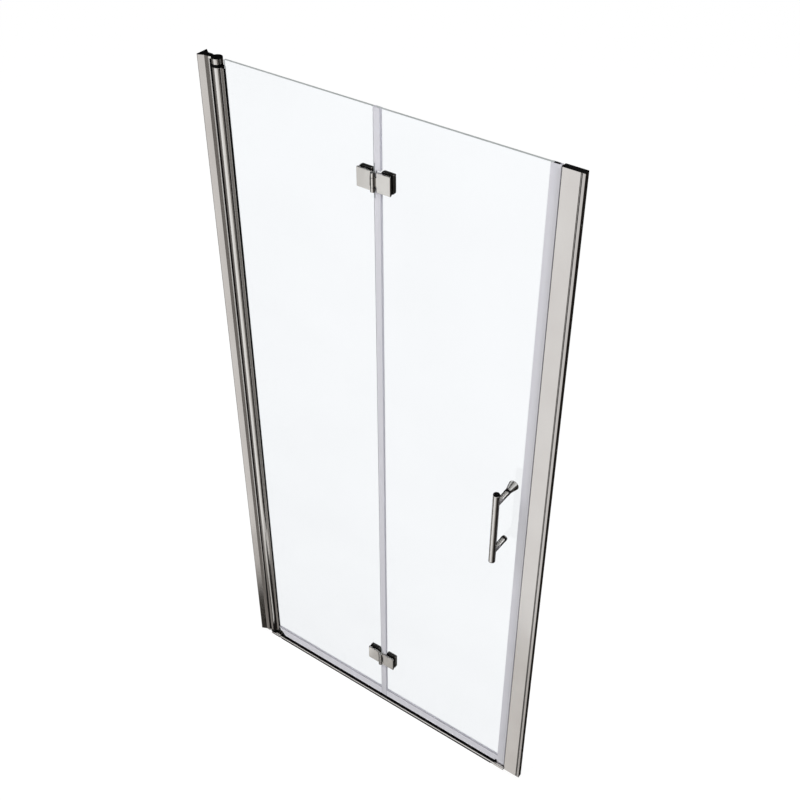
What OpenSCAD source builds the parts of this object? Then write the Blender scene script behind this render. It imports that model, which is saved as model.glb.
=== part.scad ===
// Two-leaf pivot shower door for an alcove.
// The left leaf turns on a pivot post at the wall, and the right leaf folds on it by two glass hinges.
// Frame: X along the opening, +Y into the shower, Z up. The origin is in the middle of the opening,
// on the middle plane of the glass and at the underside of the threshold.

/* [Opening] */
// Width from wall to wall
door_w = 914; // [860:1:1000]
// Height from the threshold's underside to the top caps
door_h = 1831.5; // [1700:0.5:2000]

/* [Glass] */
// Thickness of the tempered glass
glass_t = 6; // [5:0.5:8]
// Height of the glass's bottom edge
glass_bottom = 26; // [24:0.5:32]
// How far the glass stops below the top of the caps
glass_top_drop = 0.5; // [0.5:0.25:1]
// Gap between the two leaves at the fold
fold_gap = 6; // [5:0.25:7]
// Radius of the holes drilled in the glass
glass_hole_r = 6; // [5:0.25:7]

/* [Left wall channel] */
// How far the channel's foot reaches to the outside from the glass's middle
foot_front = 13; // [12:0.5:17]
// How far it reaches into the shower
foot_back = 17; // [12:0.5:18]
// Length of the sloping cheeks, from the wall
flare_w = 15; // [9:0.5:18]
// How far the channel reaches out from the wall
channel_w = 26.5; // [24:0.5:28]
// Depth of the channel's straight part and of the post's head
channel_d = 13.5; // [13:0.25:16]
// How far the post's head narrows on each side towards the tube
head_slope = 2; // [1:0.25:3]
// Wall of the extrusions
profile_wall = 1.5; // [1:0.1:1.8]
// Thickness of the web that is screwed to the wall
web_t = 2; // [1.5:0.25:3]
// Sliding clearance between nested profiles
slide_gap = 0.2; // [0.1:0.05:0.4]

/* [Pivot] */
// Distance from the wall to the pivot axis
pivot_from_wall = 45; // [44:0.5:50]
// Radius of the pivot tube
tube_r = 12.5; // [12:0.25:13.5]
// Wall of the pivot tube
tube_wall = 2; // [1.5:0.1:2.5]
// Gap between the tube and the hollow face of the post
tube_gap = 2.8; // [1:0.1:3]
// Height of the pivot bushes' flanges
bush_h = 7.5; // [5:0.5:9]
// Depth of the bushes' plugs in the tube
bush_plug = 20; // [15:1:30]
// Radius of the bushes' plugs and of the port that holds them in the tube
bush_r = 5; // [4.5:0.1:5]
// Wall of that port
port_wall = 1.5; // [1.2:0.1:2]
// Radius of the pivot pins
pin_r = 3.5; // [3:0.1:4]
// Radial running clearance of every pin in its bore
running_gap = 0.05; // [0.02:0.01:0.1]
// Height of the bosses that hold the pivot pins
boss_h = 11.5; // [11:0.5:16]
// Thickness of the brackets' plates
bracket_t = 4; // [3:0.5:5]
// Length of the brackets' plugs in the post
bracket_plug = 30; // [20:1:40]
// Thrust gap between a bush and its boss
thrust_gap = 0.3; // [0.2:0.05:0.5]
// Distance from the pivot axis to the glass edge
glass_from_axis = 6.5; // [6.5:0.25:7.5]
// Wall of the glazing gasket
gasket_wall = 0.9; // [0.8:0.1:2]
// Distance from the pivot axis to the ends of the tube's two lips along the glass
glass_lip_reach = 19.5; // [16:0.5:20]
// Wall of those lips
glass_lip_wall = 1; // [0.8:0.1:1.5]
// How far the glazing gasket stands out between the lips
gasket_proud = 1.7; // [0.3:0.1:1.7]
// Height of the cap on the lips' upper end
lip_cap_h = 4; // [2:0.5:6]
// Distance from the pivot axis to the side of the notch in the glass
notch_reach = 21.5; // [21.5:0.25:26]

/* [Right jamb] */
// Width of the jamb profile's face
jamb_w = 38; // [34:0.5:46]
// Depth of the jamb
jamb_d = 13; // [12.5:0.25:16]
// Width of the wall channel's lip that shows at the wall
lip_w = 6; // [5:0.5:8]
// Width of the groove that shows between lip and jamb profile
lip_gap = 3; // [1:0.5:6]
// Wall of the jamb's extrusions
jamb_wall = 1.2; // [1:0.1:1.5]
// Length of the channel's tongue inside the jamb profile
tongue_w = 18; // [14:1:26]
// Thickness of the jamb's magnet strip
magnet_t = 3; // [2.5:0.25:4]
// How far the magnet strip stands out of the jamb
magnet_proud = 1; // [0.5:0.1:1.5]
// Depth of the magnet strip along Y
magnet_d = 8; // [6:0.5:9]
// Gap between the two magnets when the door is shut
shut_gap = 1; // [0.8:0.1:2]

/* [Wall screw holes] */
// Number of wall screws on each side
wall_screws = 4; // [3:1:5]
// Distance of the first and last wall screw from the door's ends
wall_screw_inset = 105.75; // [60:0.25:200]
// Radius of the wall screw holes
wall_hole_r = 2.6; // [2:0.1:3]

/* [Small screws] */
// Shank radius of the side screws
side_screw_r = 1.5; // [1.25:0.25:2]
// Head radius of the side screws
side_head_r = 3.2; // [2.75:0.1:4]
// Height of the side screws' heads
side_head_h = 1.6; // [1.2:0.1:2]
// Inset of the first and last side screw from the door's ends
side_screw_inset = 250; // [150:10:400]
// Wall of the caps over the side screws
cover_wall = 0.8; // [0.5:0.1:1.2]

/* [Caps] */
// Thickness of the top caps
cap_t = 1.5; // [1:0.25:2.5]
// Radius of the pegs under the caps
peg_r = 2; // [1.5:0.25:2.25]
// Length of the pegs under the caps
peg_h = 8; // [5:1:12]

/* [Hinges] */
// Height of the hinge plates
plate_h = 43; // [38:0.5:50]
// Width of the front plates
plate_w = 34; // [30:0.5:40]
// Width of the back plates
back_plate_w = 29; // [25:0.5:32]
// Thickness of the plates
plate_t = 4.5; // [4:0.25:6]
// Thickness of the gaskets between plate and glass
plate_gasket_t = 2; // [1.5:0.25:3]
// Distance from the fold axis to the front plates
plate_from_axis = 8; // [7.5:0.25:9]
// Radius of the hinge knuckle
knuckle_r = 5.5; // [5:0.25:6]
// How far the fold axis lies in front of the plates
axis_proud = 1.1; // [1:0.1:2]
// Radius of the hinge pins
hinge_pin_r = 2.5; // [2:0.25:3]
// Thickness of the washers between the knuckles
washer_t = 0.7; // [0.5:0.1:1]
// End play at each side of a washer
washer_gap = 0.05; // [0.05:0.01:0.1]
// Height of the upper hinge's centre below the top
upper_hinge_drop = 159; // [120:0.5:260]
// Height of the lower hinge's centre
lower_hinge_z = 177.5; // [150:0.5:300]
// Shank radius of the hinge screws
hinge_screw_r = 2.5; // [2:0.25:3]
// Head radius of the hinge screws
hinge_head_r = 4.8; // [4:0.2:5.4]
// Distance between the two screws of a plate
hinge_screw_pitch = 24; // [20:0.5:26]
// Corner radius of the back plates
back_corner_r = 1.5; // [1:0.5:5]
// Bevel on the front plates' edges
plate_bevel = 0.6; // [0.3:0.1:1]

/* [Handle] */
// Distance from the right glass edge to the handle
handle_from_edge = 48; // [40:1:90]
// Height of the handle's middle
handle_z = 933; // [850:1:1100]
// Distance between the standoffs
handle_pitch = 148; // [120:1:220]
// Length of the bar
bar_len = 208; // [190:1:300]
// Radius of the bar
bar_r = 8; // [7:0.5:10]
// Distance from the glass to the bar's axis
bar_from_glass = 46; // [38:1:60]
// Radius of the standoffs
standoff_r = 7; // [6:0.25:7]
// Thickness of the washers on the glass
pad_t = 1.5; // [1:0.25:2]
// Radius of the washers on the glass
pad_r = 7.5; // [7.25:0.25:9]
// Length of the inside knob
knob_len = 27; // [20:1:34]
// Radius of the inside knob at its wide end
knob_r = 12.5; // [11:0.25:15]
// Radius of the handle's through bolts
bolt_r = 3; // [2.5:0.25:3.5]
// Depth of the bolts in the standoffs and in the knob
bolt_grip = 12; // [8:1:15]
// Height of the lower bolt's head
bolt_head_h = 3; // [2:0.25:4]

/* [Seals] */
// Wall of the clear vinyl seals
seal_t = 1.5; // [1:0.1:1.8]
// Height of the bottom seals' underside
seal_bottom = 14; // [12:0.5:18]
// How far the bottom seals reach up the glass
bottom_flange = 17; // [12:0.5:22]
// How far the middle seal reaches over the glass
middle_flange = 12.5; // [12:0.5:20]
// How far the edge seal reaches over the glass
edge_flange = 12; // [10:0.5:16]
// Width of the edge seal's magnet pocket
pocket_w = 10; // [8:0.5:12]
// Fit of the seals and magnets beside their neighbours
seal_gap = 0.3; // [0.2:0.05:0.5]
// How far the middle seal's grip is cut back above and below a hinge
hinge_relief = 3; // [2:0.5:6]
// How far the middle seal's bulb is cut back above and below a hinge
bulb_relief = 19; // [8:1:30]
// Length of the slanted cut at the bottom seal's end beside the tube
seal_slant = 34; // [20:1:50]
// Thickness of the bottom seals' fins
fin_t = 1.4; // [1:0.1:2]
// Clearance between the bottom fins and the threshold
fin_gap = 0.6; // [0.4:0.1:1.5]
// Width of the clip at the end of the right bottom seal
clip_w = 5; // [4:0.5:8]
// Wall of that clip
clip_wall = 1.5; // [1:0.1:2]
// How far the clip reaches up the seal
clip_h = 6; // [4:0.5:9]

/* [Threshold] */
// Distance from the glass's middle to the threshold's front
sill_front = 10.5; // [9:0.5:18]
// Distance from the glass's middle to the threshold's back
sill_back = 10; // [9.5:0.5:14]
// Height of the rail's front nose
nose_h = 6; // [5:0.25:7]
// Width of the rail's front nose
nose_w = 2.5; // [2:0.5:6]
// Height of the rail's floor under the water bar
sill_floor = 2; // [1.5:0.25:3]
// Height of the water bar's top
bar_top = 8; // [7.5:0.25:9]
// Length of the threshold's end blocks
end_block = 30; // [24:1:40]
// How far the end blocks stand out round the rail
block_proud = 0.8; // [0.5:0.1:1.5]

/* [Hidden] */
$fn = 64;

// Finishes
nickel = [0.74, 0.72, 0.70];
steel = [0.62, 0.62, 0.62];
black = [0.06, 0.06, 0.06];
vinyl = [0.80, 0.79, 0.83, 0.7];
clear = [0.93, 0.96, 0.96, 0.35];

// A cut runs this far past the faces that it opens
over = 1;

// Main planes along X
left_wall = -door_w / 2;
right_wall = door_w / 2;
pivot_x = left_wall + pivot_from_wall;
jamb_x = right_wall - lip_w - lip_gap - jamb_w;
shut_x = jamb_x - magnet_proud - shut_gap;
left_glass_x = pivot_x + glass_from_axis;
right_glass_x = shut_x - pocket_w;
fold_x = (left_glass_x + right_glass_x) / 2;
notch_x = pivot_x + notch_reach;
seal_left_x = notch_x + seal_gap;

// Main planes along Y and Z
glass_y = glass_t / 2;
glass_top = door_h - glass_top_drop;
profile_top = door_h - cap_t;
seal_y = glass_y + seal_t;
plate_y = glass_y + plate_gasket_t;
fold_y = -(plate_y + plate_t + axis_proud);
upper_hinge_z = door_h - upper_hinge_drop;

// Left profiles
channel_y = channel_d / 2;
cavity_y = channel_y - profile_wall;
post_y = cavity_y - slide_gap;
mouth_x = left_wall + channel_w;
post_face_x = pivot_x - tube_r - tube_gap / 3;
head_x = mouth_x + slide_gap;
screw_room = 7;
post_back_x = left_wall + web_t + screw_room;
foot_lip = 1.5;
hollow_y = post_y - profile_wall;
hollow_x0 = post_back_x + profile_wall;
hollow_x1 = mouth_x - profile_wall;
plug_y = hollow_y - slide_gap;
wiper_slot_y = 2;
wiper_slot_x = 2.5;
wiper_lip_y = 5;
gasket_back = 0.9;

// Pivot heights, from the top cap down and from the threshold up
boss_top = profile_top;
top_boss_z = boss_top - boss_h;
tube_top = top_boss_z - bush_h;
bottom_boss_z = bar_top;
bottom_boss_h = 5;
bottom_boss_top = bottom_boss_z + bottom_boss_h;
tube_bottom = bottom_boss_top + bush_h;
post_top = profile_top - bracket_t;
post_bottom = bottom_boss_z + bracket_t;
pin_bite = boss_h - 2;
pin_end_gap = 1;
bore_r = pin_r + running_gap;

// Right jamb
jamb_y = jamb_d / 2;
jamb_in_y = jamb_y - jamb_wall;
tongue_y = jamb_in_y - slide_gap;
jamb_end_x = jamb_x + jamb_w;
lip_x = right_wall - lip_w;
tongue_x = lip_x - lip_gap - tongue_w;
magnet_bottom = seal_bottom + 6;
magnet_top_drop = 6;

// Side screws: two near the ends and one in the middle
side_screw_zs = [side_screw_inset, door_h / 2, door_h - side_screw_inset];
left_screw_x = (left_wall + flare_w + mouth_x) / 2;
right_screw_x = tongue_x + tongue_w / 2;
bracket_screw_zs = [post_bottom + bracket_plug / 2, post_top - bracket_plug / 2];
side_bite = 1.2;
bracket_bite = 4;

// Threshold
sill_mid_y = -(sill_front - nose_w);
bar_back_y = sill_back - 3;
bar_chamfer = 1;
rail_x0 = pivot_x - tube_r - tube_gap / 3 + end_block + 9;
rail_x1 = jamb_x - end_block;
block_x0 = pivot_x - tube_r / 2;
fin_bottom = bar_top + fin_gap;

// Hinge knuckles: the end knuckles are half as long as the middle one
mid_half = plate_h / 4 - washer_t / 2 - washer_gap;
end_start = mid_half + washer_t + 2 * washer_gap;
plate_end = plate_from_axis + plate_w;
screw_from_axis = plate_end - back_plate_w / 2;
sleeve_r = glass_hole_r - 0.1;
screw_tip = plate_t - 1.2;
countersink_h = 2.6;

// Handle
handle_x = right_glass_x - handle_from_edge;
bar_y = -(glass_y + bar_from_glass);
handle_zs = [handle_z - handle_pitch / 2, handle_z + handle_pitch / 2];
knob_y = glass_y + pad_t;

// Prism along Z with its section in X and Y
module upright(z0, z1) {
    translate([0, 0, z0]) linear_extrude(z1 - z0) children();
}

// Prism along X with its section in Y and Z
module along_x(x0, x1) {
    translate([x0, 0, 0]) rotate([90, 0, 90]) linear_extrude(x1 - x0) children();
}

// Box between two corners
module block(low, high) {
    translate(low) cube(high - low);
}

// Round bar along Y
module rod_y(x, y0, y1, z, r) {
    translate([x, y0, z]) rotate([-90, 0, 0]) cylinder(h = y1 - y0, r = r);
}

// Square with bevelled corners, centred on the origin
module bevelled(w, d, b) {
    polygon([[-w / 2 + b, -d / 2], [w / 2 - b, -d / 2], [w / 2, -d / 2 + b], [w / 2, d / 2 - b],
             [w / 2 - b, d / 2], [-w / 2 + b, d / 2], [-w / 2, d / 2 - b], [-w / 2, -d / 2 + b]]);
}

// Square with round corners, centred on the origin
module rounded(w, h, r) {
    square([w - 2 * r, h], center = true);
    square([w, h - 2 * r], center = true);
    for (x = [-1, 1], z = [-1, 1])
        translate([x * (w / 2 - r), z * (h / 2 - r)]) circle(r);
}

// Wall screw holes through a web, along X
module wall_holes(x0) {
    for (i = [0 : wall_screws - 1])
        translate([x0 - over, 0, wall_screw_inset + i * (door_h - 2 * wall_screw_inset) / (wall_screws - 1)])
            rotate([0, 90, 0]) cylinder(h = web_t + 2 * over, r = wall_hole_r);
}

// Holes for the side screws through the inner wall of a profile, at positive Y
module side_holes(x, y0, y1, zs) {
    for (z = zs) rod_y(x, y0 - over, y1 + over / 2, z, side_screw_r);
}

// Side screws: a shank from y0 to the face at y1 and a pan head on that face
module side_screws(x, y0, y1, zs) {
    for (z = zs) {
        rod_y(x, y0, y1, z, side_screw_r);
        rod_y(x, y1, y1 + side_head_h, z, side_head_r);
    }
}

// Section of the left wall channel: foot, sloping cheeks and straight walls round an open cavity
module channel_outline() {
    polygon([[left_wall, -foot_front], [left_wall + foot_lip, -foot_front],
             [left_wall + flare_w, -channel_y], [mouth_x, -channel_y], [mouth_x, channel_y],
             [left_wall + flare_w, channel_y], [left_wall + foot_lip, foot_back],
             [left_wall, foot_back]]);
}

// Hollow in one cheek of the channel
module cheek_hollow(side) {
    foot_y = side < 0 ? foot_front : foot_back;
    polygon([[left_wall + web_t, side * channel_y],
             [left_wall + web_t, side * (foot_y - 1.4 * profile_wall)],
             [left_wall + flare_w - 2 * profile_wall, side * channel_y]]);
}

module left_wall_channel() {
    color(nickel) difference() {
        upright(0, profile_top) difference() {
            channel_outline();
            translate([left_wall + web_t, -cavity_y]) square([channel_w, 2 * cavity_y]);
            for (side = [-1, 1]) cheek_hollow(side);
        }
        wall_holes(left_wall);
        side_holes(left_screw_x, cavity_y, channel_y, concat(side_screw_zs, bracket_screw_zs));
    }
}

// Outline of the post's head from x0 to x1: as deep as the channel, then narrower on a slope to the tube
module head_outline(x0, x1) {
    face_y = channel_y - head_slope;
    polygon([[x0, -channel_y], [head_x, -channel_y], [post_face_x, -face_y], [x1, -face_y],
             [x1, face_y], [post_face_x, face_y], [head_x, channel_y], [x0, channel_y]]);
}

// Section of the pivot post: a tongue in the channel and a head with a hollow face
module post_outline() {
    difference() {
        union() {
            translate([post_back_x, -post_y]) square([head_x - post_back_x + over, 2 * post_y]);
            head_outline(head_x, pivot_x - tube_r);
        }
        translate([pivot_x, 0]) circle(tube_r + tube_gap);
    }
}

module pivot_post() {
    color(nickel) difference() {
        upright(post_bottom, post_top) difference() {
            post_outline();
            translate([hollow_x0, -hollow_y]) square([hollow_x1 - hollow_x0, 2 * hollow_y]);
            translate([pivot_x - tube_r - tube_gap - wiper_slot_x, -wiper_slot_y])
                square([wiper_slot_x + over, 2 * wiper_slot_y]);
        }
        side_holes(left_screw_x, hollow_y, post_y, concat(side_screw_zs, bracket_screw_zs));
    }
}

module post_fixing_screws() {
    color(steel) side_screws(left_screw_x, hollow_y - side_bite, channel_y, side_screw_zs);
}

module bracket_screws() {
    color(steel) side_screws(left_screw_x, plug_y - bracket_bite, channel_y, bracket_screw_zs);
}

// Rubber wiper: a root in the post's slot and two lips that curl round the tube
module post_wiper_seal() {
    color(black) upright(post_bottom, post_top) difference() {
        union() {
            translate([pivot_x - tube_r - tube_gap - wiper_slot_x, -wiper_slot_y])
                square([wiper_slot_x + 0.2, 2 * wiper_slot_y]);
            intersection() {
                translate([pivot_x, 0]) circle(tube_r + tube_gap);
                translate([pivot_x - tube_r - tube_gap, -wiper_lip_y])
                    square([tube_gap + 1, 2 * wiper_lip_y]);
            }
        }
        translate([pivot_x, 0]) circle(tube_r + seal_gap);
    }
}

module left_top_cap() {
    color(black) {
        upright(profile_top, door_h) {
            channel_outline();
            head_outline(head_x - over, pivot_x);
            translate([pivot_x, 0]) circle(tube_r);
        }
        translate([left_wall + web_t + screw_room / 2, 0, profile_top - peg_h])
            cylinder(h = peg_h + over / 2, r = peg_r);
    }
}

// Plug of a bracket inside the post
module bracket_plug_body(z0, z1) {
    block([hollow_x0 + slide_gap, -plug_y, z0], [hollow_x1 - slide_gap, plug_y, z1]);
}

// Plate of a bracket over the post's end, reaching to the pivot axis
module bracket_plate(z0, z1) {
    upright(z0, z1) {
        translate([post_back_x, -post_y]) square([head_x - post_back_x + over, 2 * post_y]);
        head_outline(head_x, pivot_x);
    }
}

module top_pivot_bracket() {
    color(nickel) difference() {
        union() {
            bracket_plate(post_top, profile_top);
            bracket_plug_body(post_top - bracket_plug, post_top);
            translate([pivot_x, 0, top_boss_z]) cylinder(h = boss_h, r = tube_r);
        }
        translate([pivot_x, 0, top_boss_z - over]) cylinder(h = pin_bite + over, r = pin_r);
        side_holes(left_screw_x, plug_y - bracket_bite + over, plug_y, [bracket_screw_zs[1]]);
    }
}

module top_pivot_pin() {
    color(steel) translate([pivot_x, 0, tube_top - bush_plug + pin_end_gap])
        cylinder(h = bush_plug + bush_h + pin_bite - pin_end_gap, r = pin_r);
}

module bottom_pivot_bracket() {
    color(black) difference() {
        union() {
            bracket_plate(bottom_boss_z, post_bottom);
            bracket_plug_body(post_bottom, post_bottom + bracket_plug);
            translate([pivot_x, 0, bottom_boss_z]) cylinder(h = bottom_boss_h, r = tube_r);
        }
        translate([pivot_x, 0, bottom_boss_z - over]) cylinder(h = bottom_boss_h + 2 * over, r = pin_r);
        side_holes(left_screw_x, plug_y - bracket_bite + over, plug_y, [bracket_screw_zs[0]]);
    }
}

module bottom_pivot_pin() {
    color(steel) translate([pivot_x, 0, bottom_boss_z])
        cylinder(h = bottom_boss_h + bush_h + bush_plug - pin_end_gap, r = pin_r);
}

// Section of the right wall channel: a lip at the wall and a tongue of two legs
module right_wall_channel() {
    color(nickel) difference() {
        upright(0, profile_top) difference() {
            union() {
                translate([lip_x, -jamb_y]) square([lip_w, jamb_d]);
                translate([tongue_x, -tongue_y]) square([right_wall - tongue_x - over, 2 * tongue_y]);
            }
            translate([tongue_x - over, -tongue_y + jamb_wall])
                square([right_wall - web_t - tongue_x + over, 2 * (tongue_y - jamb_wall)]);
        }
        wall_holes(right_wall - web_t);
        side_holes(right_screw_x, tongue_y - jamb_wall, tongue_y, side_screw_zs);
    }
}

// Section of the jamb profile: a box that is open towards the wall, with a slot for the magnet strip
module right_jamb_profile() {
    web = magnet_t - magnet_proud;
    color(nickel) difference() {
        upright(0, profile_top) difference() {
            translate([jamb_x + jamb_w / 2, 0]) bevelled(jamb_w, jamb_d, jamb_wall / 2);
            translate([jamb_x + web + jamb_wall, -jamb_in_y]) square([jamb_w, 2 * jamb_in_y]);
            translate([jamb_x - over, -magnet_d / 2]) square([web + over, magnet_d]);
        }
        side_holes(right_screw_x, jamb_in_y, jamb_y, side_screw_zs);
    }
}

module jamb_fixing_screws() {
    color(steel) side_screws(right_screw_x, tongue_y - jamb_wall - side_bite, jamb_y, side_screw_zs);
}

module jamb_magnet() {
    color(black) block([jamb_x - magnet_proud, -magnet_d / 2, magnet_bottom],
                       [jamb_x + magnet_t - magnet_proud, magnet_d / 2, profile_top - magnet_top_drop]);
}

module right_top_cap() {
    color(black) {
        upright(profile_top, door_h)
            translate([(jamb_x + right_wall) / 2, 0])
                bevelled(right_wall - jamb_x, jamb_d, jamb_wall / 2);
        translate([(jamb_x + magnet_t + jamb_wall + tongue_x) / 2, 0, profile_top - peg_h])
            cylinder(h = peg_h + over / 2, r = peg_r);
    }
}

// Snap caps over the side screws' heads
module screw_covers() {
    color(black) {
        screw_cover_row(left_screw_x, channel_y, concat(side_screw_zs, bracket_screw_zs));
        screw_cover_row(right_screw_x, jamb_y, side_screw_zs);
    }
}

module screw_cover_row(x, y, zs) {
    for (z = zs) difference() {
        rod_y(x, y, y + side_head_h + cover_wall, z, side_head_r + cover_wall);
        rod_y(x, y - over, y + side_head_h, z, side_head_r);
    }
}

// Section of the threshold rail: a sloped nose in front, a floor for the water bar and a low back edge
module threshold_rail() {
    color(nickel) along_x(rail_x0, rail_x1)
        polygon([[-sill_front, 0], [-sill_front, nose_h - 1.5], [-sill_front + 1, nose_h - 0.5],
                 [sill_mid_y, nose_h], [sill_mid_y, sill_floor], [bar_back_y, sill_floor],
                 [bar_back_y, nose_h - 1], [sill_back, nose_h / 2], [sill_back, 0]]);
}

// Black rubber water bar that lies in the rail
module threshold_water_bar() {
    color(black) along_x(rail_x0, rail_x1)
        polygon([[sill_mid_y, sill_floor], [sill_mid_y, bar_top - bar_chamfer],
                 [sill_mid_y + bar_chamfer, bar_top], [bar_back_y - 2 * bar_chamfer, bar_top],
                 [bar_back_y, bar_top - 2 * bar_chamfer], [bar_back_y, sill_floor]]);
}

// Section of the threshold's end blocks
module block_outline() {
    polygon([[-sill_front - block_proud, 0], [-sill_front - block_proud, nose_h - 1],
             [-sill_front + 0.5, nose_h + block_proud / 2], [sill_mid_y, nose_h + block_proud],
             [sill_mid_y + bar_chamfer, bar_top], [bar_back_y - 2 * bar_chamfer, bar_top],
             [sill_back + block_proud, nose_h / 2], [sill_back + block_proud, 0]]);
}

module threshold_left_end() {
    color(nickel) along_x(block_x0, rail_x0) block_outline();
}

module threshold_right_end() {
    color(nickel) along_x(rail_x1, jamb_x) block_outline();
}

// Section of the pivot tube: a round wall, a channel for the glass between two lips, and a round port
// for the bushes
module pivot_tube() {
    slot_y = glass_y + gasket_wall;
    slot_x = glass_from_axis - gasket_back;
    color(nickel) upright(tube_bottom, tube_top) translate([pivot_x, 0]) difference() {
        union() {
            difference() {
                circle(tube_r);
                circle(tube_r - tube_wall);
            }
            circle(bush_r + port_wall);
            intersection() {
                circle(tube_r - tube_wall / 2);
                union() {
                    translate([slot_x - port_wall, -slot_y - port_wall])
                        square([tube_r, 2 * (slot_y + port_wall)]);
                    translate([-tube_r, -port_wall / 2]) square([tube_r, port_wall]);
                }
            }
            translate([slot_x, -slot_y - glass_lip_wall])
                square([glass_lip_reach - slot_x, 2 * (slot_y + glass_lip_wall)]);
        }
        circle(bush_r);
        translate([slot_x, -slot_y]) square([2 * tube_r, 2 * slot_y]);
    }
}

module top_pivot_bush() {
    color(black) difference() {
        translate([pivot_x, 0, 0]) {
            translate([0, 0, tube_top]) cylinder(h = bush_h - thrust_gap, r = tube_r);
            translate([0, 0, tube_top - bush_plug]) cylinder(h = bush_plug + over, r = bush_r);
        }
        translate([pivot_x, 0, tube_top - bush_plug - over])
            cylinder(h = bush_plug + bush_h + 2 * over, r = bore_r);
    }
}

module bottom_pivot_bush() {
    color(black) difference() {
        translate([pivot_x, 0, 0]) {
            translate([0, 0, bottom_boss_top + thrust_gap])
                cylinder(h = bush_h - thrust_gap, r = tube_r);
            translate([0, 0, tube_bottom - over]) cylinder(h = bush_plug + over, r = bush_r);
        }
        translate([pivot_x, 0, bottom_boss_top - over])
            cylinder(h = bush_plug + bush_h + 2 * over, r = bore_r);
    }
}

// Rubber channel that grips the glass in the tube's slot
module tube_glazing_gasket() {
    jaw_y = glass_y + gasket_wall;
    mouth = pivot_x + glass_lip_reach + gasket_proud;
    color(black) difference() {
        block([pivot_x + glass_from_axis - gasket_back, -jaw_y, tube_bottom], [mouth, jaw_y, tube_top]);
        block([left_glass_x, -glass_y, glass_bottom], [mouth + over, glass_y, tube_top + over]);
    }
}

// Cap on the upper ends of the lips, in the corner of the glass's notch
module tube_lip_cap() {
    half = glass_y + gasket_wall + glass_lip_wall + 0.3;
    x0 = pivot_x + tube_r + 0.5;
    x1 = notch_x - seal_gap;
    color(black) translate([(x0 + x1) / 2, 0, tube_top]) linear_extrude(lip_cap_h)
        bevelled(x1 - x0, 2 * half, 1);
}

// Holes through the glass for one leaf's hinge screws; side is -1 on the left leaf and 1 on the right
module hinge_glass_holes(side) {
    for (hz = [lower_hinge_z, upper_hinge_z], dz = [-0.5, 0.5] * hinge_screw_pitch)
        rod_y(fold_x + side * screw_from_axis, -glass_t, glass_t, hz + dz, glass_hole_r);
}

module pivot_leaf_glass() {
    color(clear) difference() {
        block([left_glass_x, -glass_y, glass_bottom], [fold_x - fold_gap / 2, glass_y, glass_top]);
        block([left_glass_x - over, -glass_t, tube_top], [notch_x, glass_t, glass_top + over]);
        hinge_glass_holes(-1);
    }
}

module fold_leaf_glass() {
    color(clear) difference() {
        block([fold_x + fold_gap / 2, -glass_y, glass_bottom], [right_glass_x, glass_y, glass_top]);
        hinge_glass_holes(1);
        for (z = handle_zs) rod_y(handle_x, -glass_t, glass_t, z, glass_hole_r);
    }
}

// Section of a bottom seal: a grip on the glass, a front skirt, a middle fin and a drip fin inside
module bottom_seal_outline() {
    web_z = glass_bottom - seal_t;
    flange_z = glass_bottom + bottom_flange;
    drip_y = seal_y + 3;
    polygon([[-seal_y, seal_bottom], [-glass_y, seal_bottom], [-glass_y, web_z], [-fin_t / 2, web_z],
             [-fin_t / 2, fin_bottom], [fin_t / 2, fin_bottom], [fin_t / 2, web_z], [glass_y, web_z],
             [drip_y - fin_t, seal_bottom], [drip_y, seal_bottom], [seal_y, glass_bottom],
             [seal_y, flange_z], [glass_y, flange_z], [glass_y, glass_bottom],
             [-glass_y, glass_bottom], [-glass_y, flange_z], [-seal_y, flange_z]]);
}

// The corner beside the tube is cut off at a slant to clear the pivot
module pivot_leaf_bottom_seal() {
    flange_z = glass_bottom + bottom_flange;
    color(vinyl) difference() {
        along_x(seal_left_x, fold_x - fold_gap / 2) bottom_seal_outline();
        translate([0, tube_r, 0]) rotate([90, 0, 0]) linear_extrude(2 * tube_r)
            polygon([[seal_left_x - over, 0], [seal_left_x - over, flange_z - 4], [seal_left_x, flange_z - 4],
                     [seal_left_x + seal_slant, 0]]);
    }
}

module fold_leaf_bottom_seal() {
    color(vinyl) along_x(fold_x + fold_gap / 2 + middle_flange + seal_gap,
                         right_glass_x - edge_flange - seal_gap) bottom_seal_outline();
}

// Small plastic clip that closes the end of the bottom seal beside the edge seal
module seal_end_clip() {
    x1 = right_glass_x - edge_flange - seal_gap;
    color(black) difference() {
        block([x1 - clip_w, -seal_y - clip_wall - 2, fin_bottom], [x1, -glass_y + 0.5, seal_bottom + clip_h]);
        block([x1 - clip_w - over, -seal_y, seal_bottom], [x1 + over, glass_y, seal_bottom + clip_h + over]);
    }
}

// Section of the middle seal: a grip on the right leaf and a round bulb that fills the gap
module middle_seal_outline() {
    edge_x = fold_x + fold_gap / 2;
    bulb = fold_gap - seal_gap;
    for (side = [-1, 1])
        translate([edge_x - seal_t, side * (glass_y + seal_t / 2) - seal_t / 2])
            square([middle_flange + seal_t, seal_t]);
    intersection() {
        difference() {
            translate([edge_x, 0]) circle(bulb);
            translate([edge_x - seal_t, 0]) circle(bulb - 2 * seal_t);
        }
        translate([edge_x - bulb, -seal_y]) square([bulb, 2 * seal_y]);
    }
}

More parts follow.
